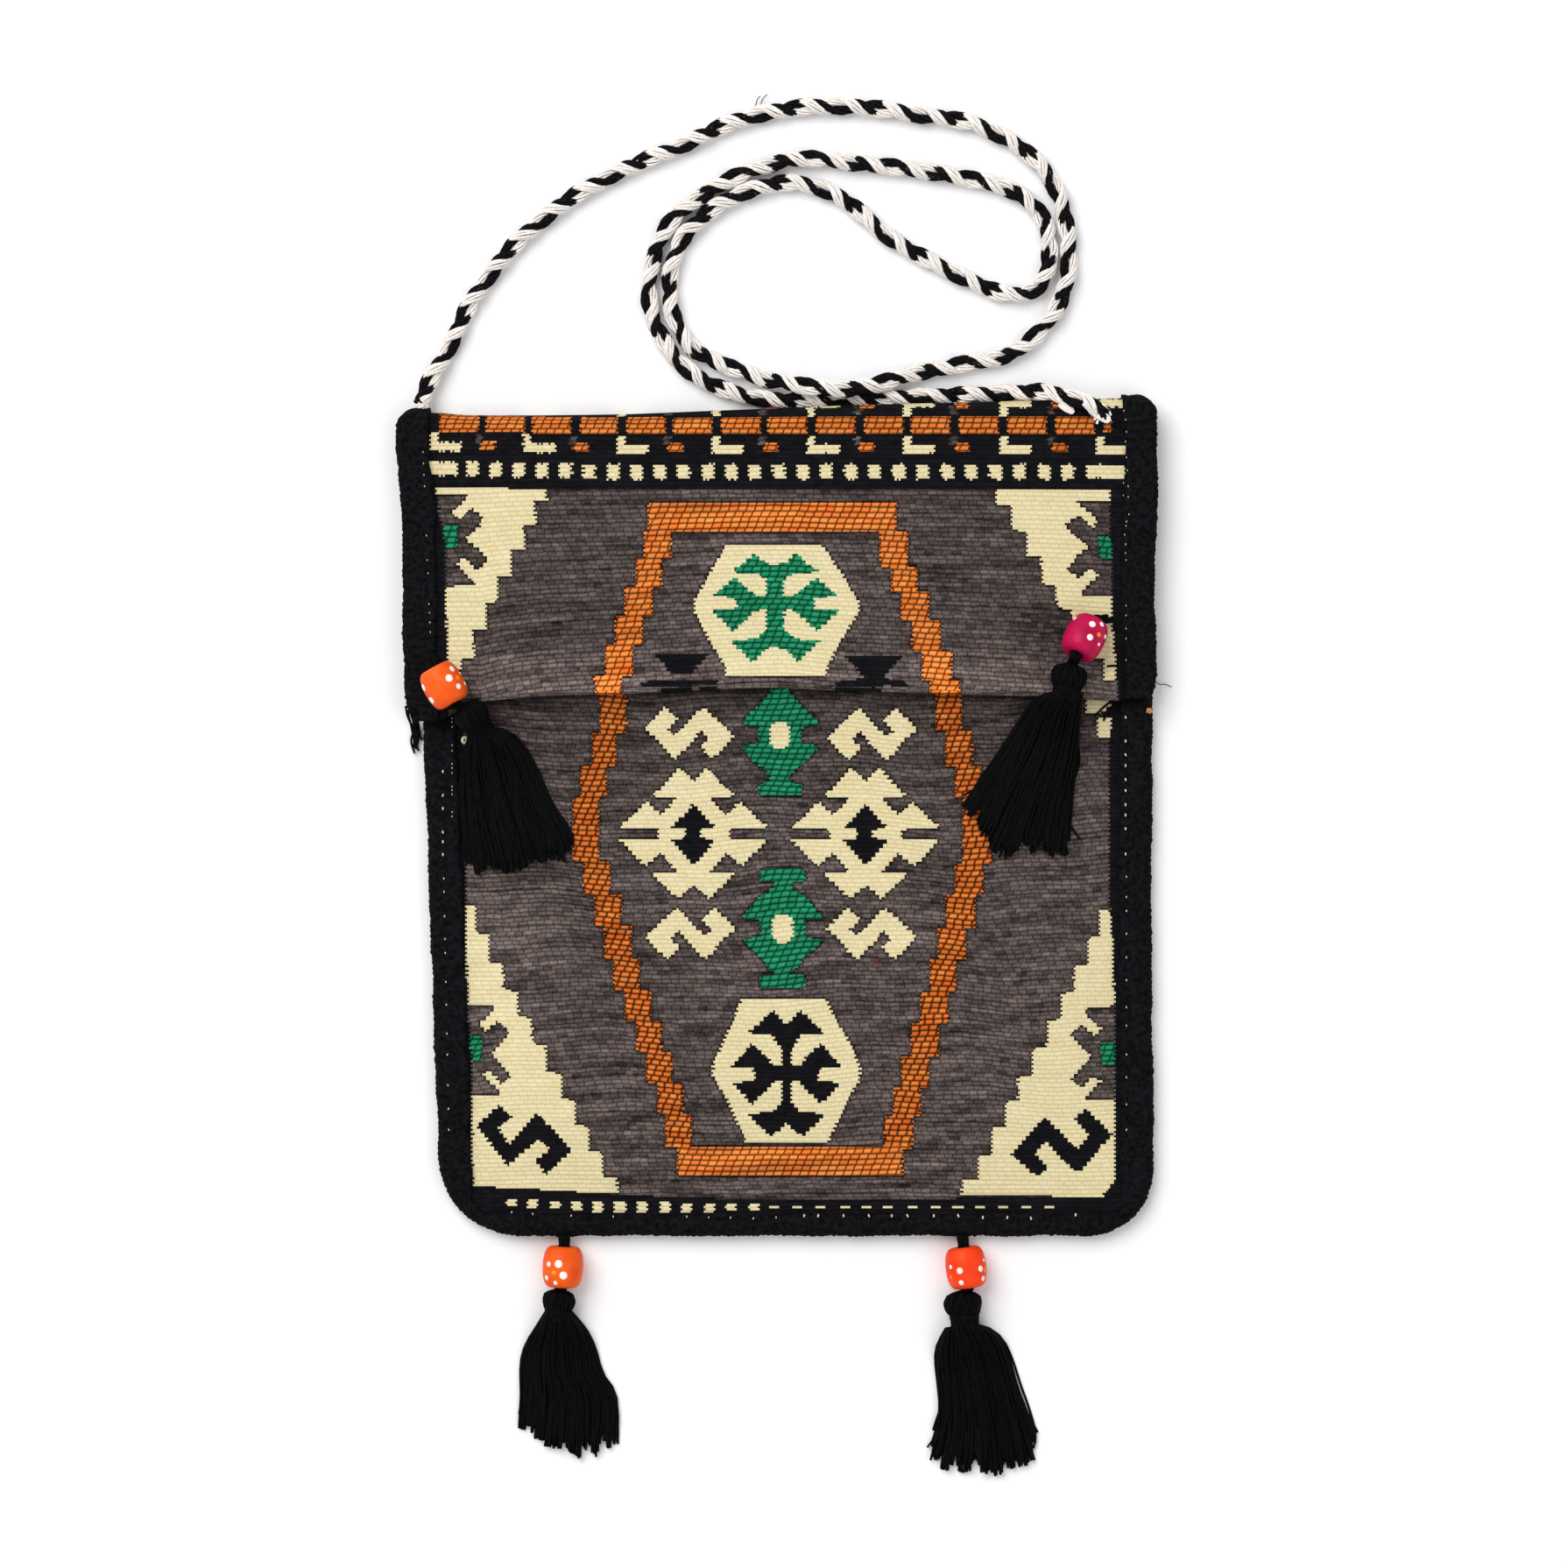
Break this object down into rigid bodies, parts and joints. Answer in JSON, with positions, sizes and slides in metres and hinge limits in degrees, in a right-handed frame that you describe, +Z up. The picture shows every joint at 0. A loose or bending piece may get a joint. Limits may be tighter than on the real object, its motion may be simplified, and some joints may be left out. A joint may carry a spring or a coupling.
{
  "type": "woven kilim shoulder bag",
  "caption": "Flat rectangular shoulder bag of woven kilim cloth with a fold-over flap, bound edges, a braided cord strap, and beads with thread tassels at the flap corners and bottom edge.",
  "frame": {"origin": "on the floor under the middle of the bag and its tassels, without the strap", "axes": "+Z up from the floor through the flap, +Y from the bottom tassels to the top fold, +X to the right of the flap as seen from above"},
  "size_m": [0.2609, 0.4702, 0.0273],
  "materials": {
    "kilim": "ribbed flat weave, taupe ground with cream, orange, green and black pattern",
    "black_tape": "soft knitted black tape",
    "braid": "round braid of off-white and black cotton",
    "black_thread": "fine black thread",
    "orange_bead": "glossy painted wood with raised dots",
    "crimson_bead": "glossy painted wood with raised dots",
    "red_bead": "glossy painted wood with raised dots"
  },
  "bodies": {
    "root": {"back_and_flap": "kilim", "front_panel": "kilim", "edge_binding": "black_tape", "strap": "braid", "tassel_cord_flap_left": "black_thread", "bead_flap_left": "orange_bead", "tassel_flap_left": "black_thread", "tassel_cord_flap_right": "black_thread", "bead_flap_right": "crimson_bead", "tassel_flap_right": "black_thread", "tassel_cord_bottom_left": "black_thread", "bead_bottom_left": "orange_bead", "tassel_bottom_left": "black_thread", "tassel_cord_bottom_right": "black_thread", "bead_bottom_right": "red_bead", "tassel_bottom_right": "black_thread"}
  },
  "joints": []
}
